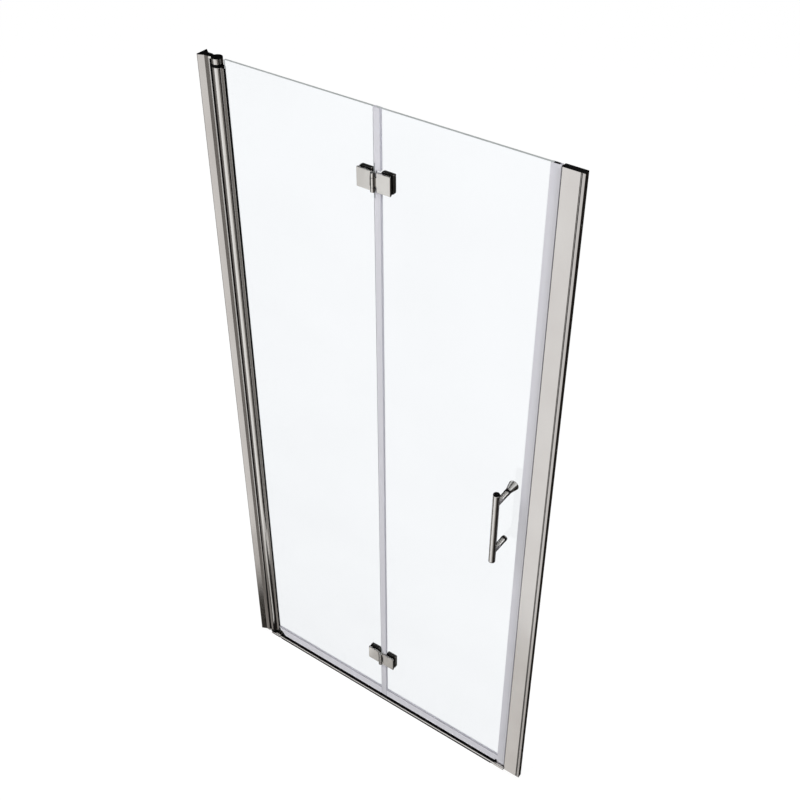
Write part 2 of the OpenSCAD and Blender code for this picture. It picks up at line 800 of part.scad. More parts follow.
module middle_seal() {
    half = plate_h / 2 + hinge_relief;
    bulb_half = plate_h / 2 + bulb_relief;
    edge_x = fold_x + fold_gap / 2;
    color(vinyl) difference() {
        upright(seal_bottom, glass_top) middle_seal_outline();
        for (hz = [lower_hinge_z, upper_hinge_z])
            block([edge_x - fold_gap - over, -2 * glass_t, hz - bulb_half],
                  [edge_x - seal_t, 2 * glass_t, hz + bulb_half]);
        for (hz = [lower_hinge_z, upper_hinge_z], side = [-1, 1])
            block([fold_x + fold_gap / 2, min(side * glass_y, side * 2 * glass_t), hz - half],
                  [fold_x + plate_end, max(side * glass_y, side * 2 * glass_t), hz + half]);
    }
}

// Section of the edge seal: a grip on the glass edge and a pocket for the magnet
module edge_seal() {
    color(vinyl) upright(seal_bottom, glass_top) {
        for (side = [-1, 1])
            translate([right_glass_x - edge_flange, side * (glass_y + seal_t / 2) - seal_t / 2])
                square([edge_flange + over, seal_t]);
        difference() {
            translate([right_glass_x + pocket_w / 2, 0]) bevelled(pocket_w, 2 * seal_y, seal_t / 2);
            translate([right_glass_x + seal_t, -glass_y])
                square([pocket_w - 2 * seal_t, glass_t]);
        }
    }
}

module edge_magnet() {
    color(black) block([right_glass_x + seal_t, -glass_y, magnet_bottom],
                       [right_glass_x + pocket_w - seal_t, glass_y, glass_top - magnet_top_drop]);
}

// Front plate of a hinge, drawn round the fold axis. ends is true on the leaf that has both end knuckles
module front_plate(side, ends) {
    spans = ends ? [[-plate_h / 2, -end_start], [end_start, plate_h / 2]] : [[-mid_half, mid_half]];
    back = axis_proud + plate_t;
    difference() {
        union() {
            upright(-plate_h / 2, plate_h / 2)
                translate([side * (plate_from_axis + plate_w / 2), axis_proud + plate_t / 2])
                    bevelled(plate_w, plate_t, plate_bevel);
            for (s = spans) {
                translate([0, 0, s[0]]) cylinder(h = s[1] - s[0], r = knuckle_r);
                block([side < 0 ? -plate_from_axis - over : 0, axis_proud, s[0]],
                      [side < 0 ? 0 : plate_from_axis + over, back - plate_bevel, s[1]]);
            }
        }
        translate([0, 0, -plate_h]) cylinder(h = 2 * plate_h, r = hinge_pin_r + (ends ? 0 : running_gap));
        for (dz = [-0.5, 0.5] * hinge_screw_pitch)
            rod_y(side * screw_from_axis, back - screw_tip, back + over, dz, hinge_screw_r);
    }
}

module upper_hinge_left_plate() {
    color(nickel) translate([fold_x, fold_y, upper_hinge_z]) front_plate(-1, true);
}

module upper_hinge_right_plate() {
    color(nickel) translate([fold_x, fold_y, upper_hinge_z]) front_plate(1, false);
}

module lower_hinge_left_plate() {
    color(nickel) translate([fold_x, fold_y, lower_hinge_z]) front_plate(-1, false);
}

module lower_hinge_right_plate() {
    color(nickel) translate([fold_x, fold_y, lower_hinge_z]) front_plate(1, true);
}

// Back plates of one leaf's hinges, with countersunk holes
module back_plates(side) {
    x = fold_x + side * screw_from_axis;
    for (hz = [lower_hinge_z, upper_hinge_z]) difference() {
        translate([x, plate_y + plate_t, hz]) rotate([90, 0, 0]) linear_extrude(plate_t)
            rounded(back_plate_w, plate_h, back_corner_r);
        for (dz = [-0.5, 0.5] * hinge_screw_pitch) {
            rod_y(x, plate_y - over, plate_y + plate_t + over, hz + dz, hinge_screw_r);
            translate([x, plate_y + plate_t - countersink_h, hz + dz]) rotate([-90, 0, 0])
                cylinder(h = countersink_h + 0.01, r1 = hinge_screw_r, r2 = hinge_head_r);
        }
    }
}

module left_back_plates() {
    color(nickel) back_plates(-1);
}

module right_back_plates() {
    color(nickel) back_plates(1);
}

// Gaskets between the plates and the glass of one leaf
module hinge_gaskets(side) {
    inset = 0.5;
    x = fold_x + side * screw_from_axis;
    front_mid = fold_x + side * (plate_from_axis + plate_w / 2);
    for (hz = [lower_hinge_z, upper_hinge_z]) difference() {
        union() {
            translate([front_mid, -glass_y, hz]) rotate([90, 0, 0]) linear_extrude(plate_gasket_t)
                square([plate_w - 2 * inset, plate_h - 2 * inset], center = true);
            translate([x, plate_y, hz]) rotate([90, 0, 0]) linear_extrude(plate_gasket_t)
                rounded(back_plate_w - 2 * inset, plate_h - 2 * inset, back_corner_r - inset);
        }
        for (dz = [-0.5, 0.5] * hinge_screw_pitch)
            rod_y(x, -plate_y - over, plate_y + over, hz + dz, hinge_screw_r);
    }
}

module left_hinge_gaskets() {
    color(black) hinge_gaskets(-1);
}

module right_hinge_gaskets() {
    color(black) hinge_gaskets(1);
}

// Countersunk screws of one leaf's hinges, from the back plates into the front plates
module hinge_screws(side) {
    x = fold_x + side * screw_from_axis;
    back = plate_y + plate_t;
    for (hz = [lower_hinge_z, upper_hinge_z], dz = [-0.5, 0.5] * hinge_screw_pitch) difference() {
        union() {
            rod_y(x, -plate_y - screw_tip + slide_gap, back - countersink_h + 0.01, hz + dz, hinge_screw_r);
            translate([x, back - countersink_h, hz + dz]) rotate([-90, 0, 0])
                cylinder(h = countersink_h, r1 = hinge_screw_r, r2 = hinge_head_r);
        }
        translate([x, back - 1.8, hz + dz]) rotate([-90, 0, 0]) cylinder(h = 3, r = 1.7, $fn = 6);
    }
}

module left_hinge_screws() {
    color(steel) hinge_screws(-1);
}

module right_hinge_screws() {
    color(steel) hinge_screws(1);
}

// Nylon sleeves round the screws in the glass holes
module sleeve(x, z, r_in) {
    difference() {
        rod_y(x, -glass_y, glass_y, z, sleeve_r);
        rod_y(x, -glass_y - over, glass_y + over, z, r_in);
    }
}

module hinge_sleeves(side) {
    for (hz = [lower_hinge_z, upper_hinge_z], dz = [-0.5, 0.5] * hinge_screw_pitch)
        sleeve(fold_x + side * screw_from_axis, hz + dz, hinge_screw_r);
}

module left_hinge_sleeves() {
    color(black) hinge_sleeves(-1);
}

module right_hinge_sleeves() {
    color(black) hinge_sleeves(1);
}

module hinge_pin(z) {
    color(steel) translate([fold_x, fold_y, z - plate_h / 2]) cylinder(h = plate_h, r = hinge_pin_r);
}

module upper_hinge_pin() {
    hinge_pin(upper_hinge_z);
}

module lower_hinge_pin() {
    hinge_pin(lower_hinge_z);
}

// The two washers of a hinge, one at each end of the middle knuckle
module hinge_washers(z) {
    color(black) for (side = [-1, 1])
        translate([fold_x, fold_y, z + side * (mid_half + washer_gap + washer_t / 2)])
            difference() {
                cylinder(h = washer_t, r = knuckle_r, center = true);
                cylinder(h = washer_t + over, r = hinge_pin_r, center = true);
            }
}

module upper_hinge_washers() {
    hinge_washers(upper_hinge_z);
}

module lower_hinge_washers() {
    hinge_washers(lower_hinge_z);
}

// Round bar with small bevels at its ends and two threaded holes for the standoffs
module handle_bar() {
    bevel = 1;
    color(nickel) difference() {
        translate([handle_x, bar_y, handle_z - bar_len / 2]) rotate_extrude()
            polygon([[0, 0], [bar_r - bevel, 0], [bar_r, bevel], [bar_r, bar_len - bevel],
                     [bar_r - bevel, bar_len], [0, bar_len]]);
        for (z = handle_zs) rod_y(handle_x, bar_y, bar_y + bar_r + over, z, bolt_r);
    }
}

// Standoffs: their outer ends are hollowed to sit on the bar, and each has a spigot into it
module handle_standoffs() {
    foot = -glass_y - pad_t;
    color(nickel) for (z = handle_zs) {
        difference() {
            rod_y(handle_x, bar_y, foot, z, standoff_r);
            translate([handle_x, bar_y, z - 2 * standoff_r]) cylinder(h = 4 * standoff_r, r = bar_r);
            rod_y(handle_x, foot - bolt_grip, foot + over, z, bolt_r);
        }
        rod_y(handle_x, bar_y + 2, bar_y + bar_r + over, z, bolt_r);
    }
}

// Black washers on both faces of the glass
module handle_washers() {
    color(black) for (z = handle_zs, side = [-1, 1]) difference() {
        rod_y(handle_x, side < 0 ? -glass_y - pad_t : glass_y, side < 0 ? -glass_y : glass_y + pad_t,
              z, pad_r);
        rod_y(handle_x, -2 * glass_t, 2 * glass_t, z, bolt_r);
    }
}

module handle_sleeves() {
    color(black) for (z = handle_zs) sleeve(handle_x, z, bolt_r);
}

module handle_stud() {
    color(steel) rod_y(handle_x, -glass_y - pad_t - bolt_grip, knob_y + bolt_grip, handle_zs[1], bolt_r);
}

module lower_handle_bolt() {
    color(nickel) difference() {
        union() {
            rod_y(handle_x, -glass_y - pad_t - bolt_grip, knob_y, handle_zs[0], bolt_r);
            rod_y(handle_x, knob_y, knob_y + bolt_head_h, handle_zs[0], standoff_r);
        }
        translate([handle_x, knob_y + bolt_head_h - 2, handle_zs[0]]) rotate([-90, 0, 0])
            cylinder(h = 3, r = 2.3, $fn = 6);
    }
}

// Cone that widens away from the glass, with a round rim and a shallow dished end
module inside_knob() {
    rim = 1.5;
    dish = 1;
    color(nickel) difference() {
        translate([handle_x, knob_y, handle_zs[1]]) rotate([-90, 0, 0]) rotate_extrude() {
            polygon([[0, 0], [standoff_r, 0], [standoff_r, 2], [knob_r, knob_len - rim],
                     [knob_r - rim, knob_len], [knob_r - 2 * rim, knob_len], [0, knob_len - dish]]);
            translate([knob_r - rim, knob_len - rim]) circle(rim);
        }
        rod_y(handle_x, knob_y - over, knob_y + bolt_grip, handle_zs[1], bolt_r);
    }
}

left_wall_channel();
pivot_post();
post_fixing_screws();
post_wiper_seal();
left_top_cap();
top_pivot_bracket();
top_pivot_pin();
bottom_pivot_bracket();
bottom_pivot_pin();
bracket_screws();
right_wall_channel();
right_jamb_profile();
jamb_fixing_screws();
jamb_magnet();
right_top_cap();
screw_covers();
threshold_rail();
threshold_water_bar();
threshold_left_end();
threshold_right_end();
pivot_tube();
top_pivot_bush();
bottom_pivot_bush();
tube_glazing_gasket();
tube_lip_cap();
pivot_leaf_glass();
pivot_leaf_bottom_seal();
upper_hinge_left_plate();
lower_hinge_left_plate();
left_back_plates();
left_hinge_gaskets();
left_hinge_screws();
left_hinge_sleeves();
upper_hinge_pin();
upper_hinge_washers();
fold_leaf_glass();
fold_leaf_bottom_seal();
seal_end_clip();
middle_seal();
edge_seal();
edge_magnet();
upper_hinge_right_plate();
lower_hinge_right_plate();
right_back_plates();
right_hinge_gaskets();
right_hinge_screws();
right_hinge_sleeves();
lower_hinge_pin();
lower_hinge_washers();
handle_bar();
handle_standoffs();
handle_washers();
handle_sleeves();
handle_stud();
lower_handle_bolt();
inside_knob();
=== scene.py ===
"""A two-leaf pivot shower door in clear glass with nickel profiles, as it hangs shut in its opening.

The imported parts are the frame. This script gives them their finishes and eased edges, adds thin
trim, and sets the floor, the studio and the camera. Lengths are in metres.
"""

import math

import bmesh
import bpy
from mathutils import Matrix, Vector


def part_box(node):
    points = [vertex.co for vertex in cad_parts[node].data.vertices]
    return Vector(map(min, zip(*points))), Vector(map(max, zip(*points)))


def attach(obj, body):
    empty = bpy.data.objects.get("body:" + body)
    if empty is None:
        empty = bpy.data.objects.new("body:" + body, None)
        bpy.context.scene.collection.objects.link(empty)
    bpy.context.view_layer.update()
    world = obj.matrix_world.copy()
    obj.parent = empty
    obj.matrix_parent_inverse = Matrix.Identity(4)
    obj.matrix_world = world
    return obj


MM = 0.001

# Nodes by finish
EXTRUSIONS = ("left_wall_channel", "pivot_post", "right_jamb_profile")
WALL_LIP = ("right_wall_channel",)
TUBE = ("pivot_tube",)
SILL_METAL = ("threshold_rail", "threshold_left_end", "threshold_right_end")
CAST_METAL = (
    "top_pivot_bracket", "upper_hinge_left_plate", "upper_hinge_right_plate", "lower_hinge_left_plate",
    "lower_hinge_right_plate", "left_back_plates", "right_back_plates",
)
TURNED_METAL = ("handle_bar", "handle_standoffs", "inside_knob", "lower_handle_bolt")
STEEL = (
    "post_fixing_screws", "bracket_screws", "jamb_fixing_screws", "top_pivot_pin", "bottom_pivot_pin",
    "left_hinge_screws", "right_hinge_screws", "upper_hinge_pin", "lower_hinge_pin", "handle_stud",
)
NYLON = (
    "left_top_cap", "right_top_cap", "bottom_pivot_bracket", "screw_covers", "top_pivot_bush",
    "bottom_pivot_bush", "left_hinge_sleeves", "right_hinge_sleeves", "upper_hinge_washers",
    "lower_hinge_washers", "handle_sleeves", "seal_end_clip", "tube_lip_cap",
)
RUBBER = (
    "post_wiper_seal", "threshold_water_bar", "tube_glazing_gasket", "left_hinge_gaskets",
    "right_hinge_gaskets", "handle_washers",
)
MAGNETS = ("jamb_magnet", "edge_magnet")
UPRIGHT_VINYL = ("middle_seal", "edge_seal")
BOTTOM_VINYL = ("pivot_leaf_bottom_seal", "fold_leaf_bottom_seal")
GLASS = ("pivot_leaf_glass", "fold_leaf_glass")

# The facets of a hole's wall are smaller than this, and those of a pane's edge are larger
HOLE_FACET = 12 * MM * MM

# Eased edges: the width by finish, the least angle in degrees, and the pull of large faces
METAL_EDGE = 0.35 * MM
MOULDED_EDGE = 0.3 * MM
EASED_ANGLE = 40
FACE_PULL = 80
WELD_REACH = 0.001 * MM

# The grain of the finishes along X, Y and Z
BRUSHED_UPRIGHT = (1.2 * MM, 1.2 * MM, 160 * MM)
BRUSHED_ALONG = (160 * MM, 1.2 * MM, 1.2 * MM)
CAST_GRAIN = (0.8 * MM, 0.8 * MM, 25 * MM)
TURNED_GRAIN = (2 * MM, 2 * MM, 0.7 * MM)
CLOUD_GRAIN = (0.09, 0.09, 0.14)
TURNING_MARKS = (0.6 * MM,) * 3
ROLLER_WAVE = (0.35, 0.35, 0.22)
FROST_GRAIN = (1.2 * MM,) * 3
NYLON_GRAIN = (0.9 * MM,) * 3
RUBBER_GRAIN = (1.4 * MM,) * 3
MAGNET_GRAIN = (1.0 * MM,) * 3
DRAWN_UPRIGHT = (3 * MM, 3 * MM, 220 * MM)
DRAWN_ALONG = (220 * MM, 3 * MM, 3 * MM)
LIP_GRAIN_ALONG = (120 * MM, 3 * MM, 120 * MM)
LIP_GRAIN_UPRIGHT = (3 * MM, 3 * MM, 120 * MM)

# Lines of the part's source that the seals' beads follow
FRONT_SEAL_Y = -4.5 * MM
BOTTOM_SEAL_TOP = 43 * MM
LEFT_SEAL_X = (-388.5 * MM, -6.75 * MM)
RIGHT_SEAL_X = (12.05 * MM, 385.7 * MM)
MIDDLE_SEAL_EDGE_X = 11.75 * MM
SEAL_HEIGHT = (14 * MM, 1831 * MM)
HINGE_HEIGHTS = (177.5 * MM, 1672.5 * MM)
HINGE_REACH = 24.5 * MM

# How far a bead's faces lie from those lines
BEAD_FRONT = 0.5 * MM
BEAD_BACK = 0.2 * MM
BEAD_BELOW = 1.0 * MM
BEAD_ABOVE = 0.3 * MM
BEAD_INSIDE = 1.2 * MM
BEAD_OUTSIDE = 0.2 * MM

# Black rubber trim: name, low corner and high corner in millimetres, body
RUBBER_TRIM = (
    ("post_edge_lip_front", (-428.8, -6.3, 12), (-426.1, -4.8, 1825.5), "frame"),
    ("post_edge_lip_back", (-428.8, 4.8, 12), (-426.1, 6.3, 1825.5), "frame"),
    # A black strip in the jamb's groove: painted shade.
    ("jamb_groove_shade_strip", (449.2, -6.0, 0.5), (450.8, -5.0, 1829), "frame"),
    # A black strip along the sill's front foot: painted contact shade.
    ("threshold_foot_shade_strip", (-380, -12.0, 0), (370, -10.4, 2.2), "frame"),
    ("edge_seal_plug", (391, -2.9, 1831.0), (403, 2.9, 1831.4), "fold_leaf"),
)

# The hinges' screw covers: side, middle along X and body, then their size
COVER_MIDDLES = (("left", -31.25 * MM, "pivot_leaf"), ("right", 23.75 * MM, "fold_leaf"))
COVER_DEPTH = (9.5 * MM, 15.5 * MM)
COVER_HALF_WIDTH = 14.5 * MM
COVER_HALF_HEIGHT = 21.5 * MM

# The plugs in the handle bar's ends
PLUG_DEPTH = 1.6 * MM
PLUG_OUT = 0.2 * MM
PLUG_EDGE = 0.4 * MM
PLUG_SIDES = 48

# The corners of the bead at the post's foot
POST_FOOT = ((-430.3 * MM, -6.7 * MM, 0.2 * MM), (-418.4 * MM, 6.7 * MM, 7.8 * MM))

# The strength of the white that shows through the glass, which loses this much on its way
BEHIND_GLASS = 1.08

# The world's strength as a light, what it loses after one reflection, and its strength when dim
WORLD_LIGHT = 0.62
WORLD_LOSS = 0.5
WORLD_DIM = 0.12

# The floor
FLOOR_HALF = 30
FLOOR_Z = -0.2 * MM
FLOOR_PAINT = "#F4F4F4"
FLOOR_GLOW = 1.09
FLOOR_GLOW_SHARE = 0.82

# Soft lamps: name, place, size and power. They point at the middle of the door
LAMPS = (
    ("key_lamp", (-1.6, -2.6, 3.4), 2.2, 55.0),
    ("fill_lamp", (2.8, 1.2, 2.6), 2.0, 22.0),
)
LAMP_TARGET = Vector((0, 0, 0.9))

# Tones of the cards, and the heights that upright ones span
BLACK, DARK, GREY, PALE = "#0C0B0A", "#262321", "#7C7976", "#E7E5E3"
NEAR_SPAN = (-1.8, 2.6)
FAR_SPAN = (-7.0, 1.6)
BACK_SPAN = (-7.0, 2.2)
HIGH_SPAN = (2.2, 14.0)

# Upright cards: name, start and end seen from above, span, tone, whether it is behind the door
UPRIGHT_CARDS = (
    ("near_left_card", (-0.705, -0.3), (-1.7, -0.3), NEAR_SPAN, GREY, False),
    ("jaw_card", (-0.66, -0.3), (-0.705, -0.3), NEAR_SPAN, "#807C79", False),
    ("left_card", (-2.75, -3.2), (-4.4, -1.5), FAR_SPAN, DARK, False),
    ("far_left_card", (-4.4, -1.5), (-4.4, 4.2), FAR_SPAN, DARK, False),
    ("front_card", (-0.26, -3.2), (1.7, -3.2), FAR_SPAN, PALE, False),
    ("right_front_card", (1.7, -3.2), (3.4, -2.3), FAR_SPAN, GREY, False),
    ("right_card", (3.4, -2.3), (3.4, 3.0), BACK_SPAN, DARK, True),
    ("back_card", (3.4, 3.0), (-5.0, 3.0), BACK_SPAN, DARK, True),
    ("high_left_back_card", (-1.0, 3.0), (-6.0, 3.0), HIGH_SPAN, BLACK, True),
    ("high_right_back_card", (6.0, 3.0), (-1.0, 3.0), HIGH_SPAN, "#ADAAA7", True),
)

# Level cards: name, low corner, high corner, height, tone, then far tone and fade along Y
LEVEL_CARDS = (
    ("left_floor_card", (-1.1, -0.78), (-0.365, -0.03), -0.35, "#D2D0CE", "#403E3B", (-0.62, -0.45)),
    ("channel_floor_card", (-1.1, -0.40), (-0.53, -0.03), -0.349, "#8A8683", None, None),
    ("tube_floor_card", (-0.365, -0.78), (-0.30, -0.03), -0.35, "#FBFAF9", None, None),
    ("floor_card", (-0.30, -0.78), (-0.185, -0.03), -0.35, "#CBC9C7", None, None),
    ("dark_floor_card", (-0.185, -0.70), (1.8, -0.03), -0.351, DARK, None, None),
)
JAMB_FLOOR_CARD = ((0.26, -0.12, -0.35), (0.03, -0.70, -0.35), (0.19, -0.70, -0.35), (0.40, -0.12, -0.35))
SILL_CARD = ((-0.44, -0.10), (0.36, -0.022), -0.05)

# The camera of the photograph, with its angles in degrees and its lens in millimetres
CAMERA_PLACE = Vector((1.2469, -1.6699, 2.7904))
CAMERA_TILT = 51.06
CAMERA_TURN = 35.5
CAMERA_LENS = 52.16
SENSOR = 36.0

WHITE = (1, 1, 1, 1)


def linear(code):
    """An sRGB hex colour as linear RGBA."""
    parts = [int(code[i:i + 2], 16) / 255 for i in (1, 3, 5)]
    return tuple(c / 12.92 if c <= 0.04045 else ((c + 0.055) / 1.055) ** 2.4 for c in parts) + (1.0,)


def add(tree, kind, inputs=None, **settings):
    """Adds a node. The settings go on the node and the inputs on its sockets.

    An input that is a socket makes a link, and any other is a value.
    """
    made = tree.nodes.new(kind)
    for name, value in settings.items():
        setattr(made, name, value)
    for name, value in (inputs or {}).items():
        if isinstance(value, bpy.types.NodeSocket):
            tree.links.new(value, made.inputs[name])
        else:
            made.inputs[name].default_value = value
    return made


def calc(tree, operation, *values):
    """The result of a math node, whose inputs are sockets or numbers."""
    return add(tree, "ShaderNodeMath", dict(enumerate(values)), operation=operation).outputs[0]


def mix_shaders(tree, share, first, last):
    """A shader between two others, by a share from 0 to 1."""
    return add(tree, "ShaderNodeMixShader", {0: share, 1: first, 2: last}).outputs[0]


def blend(tree, share, first, last):
    """A colour between two tones, by a share from 0 to 1."""
    mixed = add(tree, "ShaderNodeMix", data_type="RGBA")
    tree.links.new(share, mixed.inputs[0])
    mixed.inputs[6].default_value = linear(first)
    mixed.inputs[7].default_value = linear(last)
    return mixed.outputs[2]


def new_material(name):
    """An empty node material with its output, as (material, tree, output)."""
    made = bpy.data.materials.new(name)
    made.use_nodes = True
    made.node_tree.nodes.clear()
    return made, made.node_tree, add(made.node_tree, "ShaderNodeOutputMaterial")


def shade(tree, output, inputs):
    """Puts a Principled shader with the given inputs on a material's output."""
    shader = add(tree, "ShaderNodeBsdfPrincipled", inputs)
    tree.links.new(shader.outputs[0], output.inputs[0])


def grain(tree, cell, detail=3.0):
    """Noise whose cell has the given size along X, Y and Z, in metres."""
    place = add(tree, "ShaderNodeTexCoord").outputs["Object"]
    scaled = add(tree, "ShaderNodeMapping", {"Vector": place, "Scale": [1 / c for c in cell]})
    noise = add(tree, "ShaderNodeTexNoise", {"Vector": scaled.outputs[0], "Scale": 1.0, "Detail": detail})
    return noise.outputs["Fac"]


def relief(tree, height, strength, distance):
    """A bump of the surface by a noise value."""
    inputs = {"Height": height, "Strength": strength, "Distance": distance}
    return add(tree, "ShaderNodeBump", inputs).outputs[0]


def spread(tree, value, low, high):
    """Maps noise, which lies mostly from 0.3 to 0.7, to the range low to high."""
    return add(tree, "ShaderNodeMapRange", {"Value": value, "From Min": 0.3, "From Max": 0.7,
                                            "To Min": low, "To Max": high}).outputs[0]


def tones(tree, value, dark, light):
    """A colour between two tones, by a noise value."""
    return blend(tree, spread(tree, value, 0.0, 1.0), dark, light)


def nickel(name, cell, dark, light, rough_low, rough_high):
    """Satin nickel plate over brass or aluminium: fine brush lines and a warm grey."""
    made, tree, output = new_material(name)
    lines = grain(tree, cell)
    clouds = grain(tree, CLOUD_GRAIN, 2.0)
    shade(tree, output, {
        "Base Color": tones(tree, clouds, dark, light),
        "Metallic": 1.0,
        "Roughness": spread(tree, lines, rough_low, rough_high),
        "Normal": relief(tree, lines, 0.05, 0.05 * MM),
    })
    return made


def bright_steel():
    """Stainless steel screws and pins: bright, with slight turning marks."""
    made, tree, output = new_material("bright_stainless_steel")
    marks = grain(tree, TURNING_MARKS)
    shade(tree, output, {
        "Base Color": tones(tree, marks, "#B4B4B2", "#C8C8C6"),
        "Metallic": 1.0,
        "Roughness": spread(tree, marks, 0.18, 0.34),
    })
    return made


def dark_polymer(name, dark, light, cell, rough_low, rough_high, bump_strength):
    """Moulded or extruded polymer with a fine surface grain and little shine."""
    made, tree, output = new_material(name)
    skin = grain(tree, cell)
    shade(tree, output, {
        "Base Color": tones(tree, skin, dark, light),
        "Roughness": spread(tree, skin, rough_low, rough_high),
        "IOR": 1.5,
        "Specular IOR Level": 0.05,
        "Normal": relief(tree, skin, bump_strength, 0.1 * MM),
    })
    return made


def clear_vinyl(name, dark, light, clearness, cell):
    """Extruded clear PVC: a cool grey-lilac haze, with faint draw lines along its length."""
    made, tree, output = new_material(name)
    haze = grain(tree, cell, 2.0)
    shade(tree, output, {
        "Base Color": tones(tree, haze, dark, light),
        "Roughness": spread(tree, haze, 0.3, 0.4),
        "IOR": 1.53,
        "Transmission Weight": clearness,
        "Normal": relief(tree, haze, 0.03, 0.1 * MM),
    })
    return made


def tempered_glass():
    """Clear float glass, toughened: a slight cool tint and a very faint roller wave."""
    made, tree, output = new_material("clear_tempered_glass")
    wave = grain(tree, ROLLER_WAVE, 1.0)
    shade(tree, output, {
        "Base Color": tones(tree, wave, "#F4F6F8", "#F6F8FA"),
        "Roughness": 0.0,
        "IOR": 1.52,
        "Transmission Weight": 1.0,
        "Normal": relief(tree, wave, 0.02, 0.2 * MM),
    })
    return made


def ground_glass_edge():
    """The ground edge of a toughened pane: a pale grey-green frost that lets a little light through."""
    made, tree, output = new_material("ground_glass_edge")
    frost = grain(tree, FROST_GRAIN)
    shade(tree, output, {
        "Base Color": tones(tree, frost, "#BCC2C2", "#CBD0D0"),
        "Roughness": spread(tree, frost, 0.35, 0.5),
        "IOR": 1.52,
        "Transmission Weight": 0.2,
    })
    return made


def dress(names, material, edge):
    """Gives CAD nodes their material and eases their sharp edges by edge, in metres."""
    for name in names:
        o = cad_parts[name]
        o.data.materials.clear()
        o.data.materials.append(material)
        if edge:
            weld = o.modifiers.new("weld", "WELD")
            weld.merge_threshold = WELD_REACH
            bevel = o.modifiers.new("eased_edges", "BEVEL")
            bevel.width = edge
            bevel.segments = 2
            bevel.limit_method = "ANGLE"
            bevel.angle_limit = math.radians(EASED_ANGLE)
            bevel.harden_normals = False
            level = o.modifiers.new("level_faces", "WEIGHTED_NORMAL")
            level.mode = "FACE_AREA"
            level.weight = FACE_PULL
            level.keep_sharp = True


def frost_edges(names, material, sleeve):
    """Puts the ground finish on the panes' edges, and the sleeves' black on the walls of their holes."""
    for name in names:
        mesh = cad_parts[name].data
        mesh.materials.append(material)
        mesh.materials.append(sleeve)
        mesh.polygons.foreach_set("use_smooth", [False] * len(mesh.polygons))
        for face in mesh.polygons:
            if abs(face.normal.y) < 0.5:
                face.material_index = 2 if face.area < HOLE_FACET else 1


def new_object(name, bm, material):
    """Turns a bmesh into an object of the scene, with one material."""
    mesh = bpy.data.meshes.new(name)
    bm.to_mesh(mesh)
    bm.free()
    o = bpy.data.objects.new(name, mesh)
    bpy.context.scene.collection.objects.link(o)
    mesh.materials.append(material)
    return o


def bead(name, low, high, material, body, slot):
    """A moulded bead between two corners, with round edges."""
    bm = bmesh.new()
    bmesh.ops.create_cube(bm, size=1.0)
    bmesh.ops.scale(bm, verts=bm.verts, vec=[b - a for a, b in zip(low, high)])
    bmesh.ops.translate(bm, verts=bm.verts, vec=[(a + b) / 2 for a, b in zip(low, high)])
    round_edge = 0.3 * min(b - a for a, b in zip(low, high))
    bmesh.ops.bevel(bm, geom=bm.edges[:], offset=round_edge, segments=2, profile=0.5,
                    affect="EDGES", material=-1)
    o = new_object(name, bm, material)
    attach(o, body)
    o.visible_shadow = False


def seal_shade_beads(bottom, upright):
    """The thicker lips of the seals in darker vinyl, painted shade along their edges: along the top of both
    bottom seals and the edge of the middle seal.
    """
    front, back = FRONT_SEAL_Y - BEAD_FRONT, FRONT_SEAL_Y + BEAD_BACK
    low_z, high_z = BOTTOM_SEAL_TOP - BEAD_BELOW, BOTTOM_SEAL_TOP + BEAD_ABOVE
    bead("left_bottom_seal_shade_lip", (LEFT_SEAL_X[0], front, low_z), (LEFT_SEAL_X[1], back, high_z),
         bottom, "pivot_leaf", "clear_vinyl")
    bead("right_bottom_seal_shade_lip", (RIGHT_SEAL_X[0], front, low_z), (RIGHT_SEAL_X[1], back, high_z),
         bottom, "fold_leaf", "clear_vinyl")
    spans = (
        (SEAL_HEIGHT[0], HINGE_HEIGHTS[0] - HINGE_REACH),
        (HINGE_HEIGHTS[0] + HINGE_REACH, HINGE_HEIGHTS[1] - HINGE_REACH),
        (HINGE_HEIGHTS[1] + HINGE_REACH, SEAL_HEIGHT[1]),
    )
    for i, (low, high) in enumerate(spans):
        bead("middle_seal_shade_lip_%d" % (i + 1), (MIDDLE_SEAL_EDGE_X - BEAD_INSIDE, front, low),
             (MIDDLE_SEAL_EDGE_X + BEAD_OUTSIDE, back, high), upright, "fold_leaf", "clear_vinyl")


def rubber_trims(rubber):
    """Small black trims: the post's edge lips, a strip of painted shade in the jamb's groove, one of
    painted contact shade along the sill's foot, and the like.
    """
    for name, low, high, body in RUBBER_TRIM:
        bead(name, [v * MM for v in low], [v * MM for v in high], rubber, body, "black_rubber")


def hinge_covers(plastic):
    """Snap covers over the screws of the hinges' back plates."""
    for level, z in zip(("lower", "upper"), HINGE_HEIGHTS):
        for side, x, body in COVER_MIDDLES:
            bead("%s_%s_hinge_cover" % (level, side),
                 (x - COVER_HALF_WIDTH, COVER_DEPTH[0], z - COVER_HALF_HEIGHT),
                 (x + COVER_HALF_WIDTH, COVER_DEPTH[1], z + COVER_HALF_HEIGHT),
                 plastic, body, "black_plastic")


def handle_plugs(plastic):
    """The flanges of the plugs that close the ends of the handle bar."""
    low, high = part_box("handle_bar")
    radius = (high[0] - low[0]) / 2
    for name, z in (("handle_top_plug", high[2] + PLUG_OUT), ("handle_bottom_plug", low[2] - PLUG_OUT)):
        bm = bmesh.new()
        bmesh.ops.create_cone(bm, cap_ends=True, segments=PLUG_SIDES, radius1=radius, radius2=radius,
                              depth=PLUG_DEPTH)
        bmesh.ops.translate(bm, verts=bm.verts, vec=((low[0] + high[0]) / 2, (low[1] + high[1]) / 2, z))
        rims = [e for e in bm.edges if len(e.link_faces) == 2 and e.calc_face_angle() > 1.0]
        bmesh.ops.bevel(bm, geom=rims, offset=PLUG_EDGE, segments=2, profile=0.5,
                        affect="EDGES", material=-1)
        o = new_object(name, bm, plastic)
        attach(o, "fold_leaf")


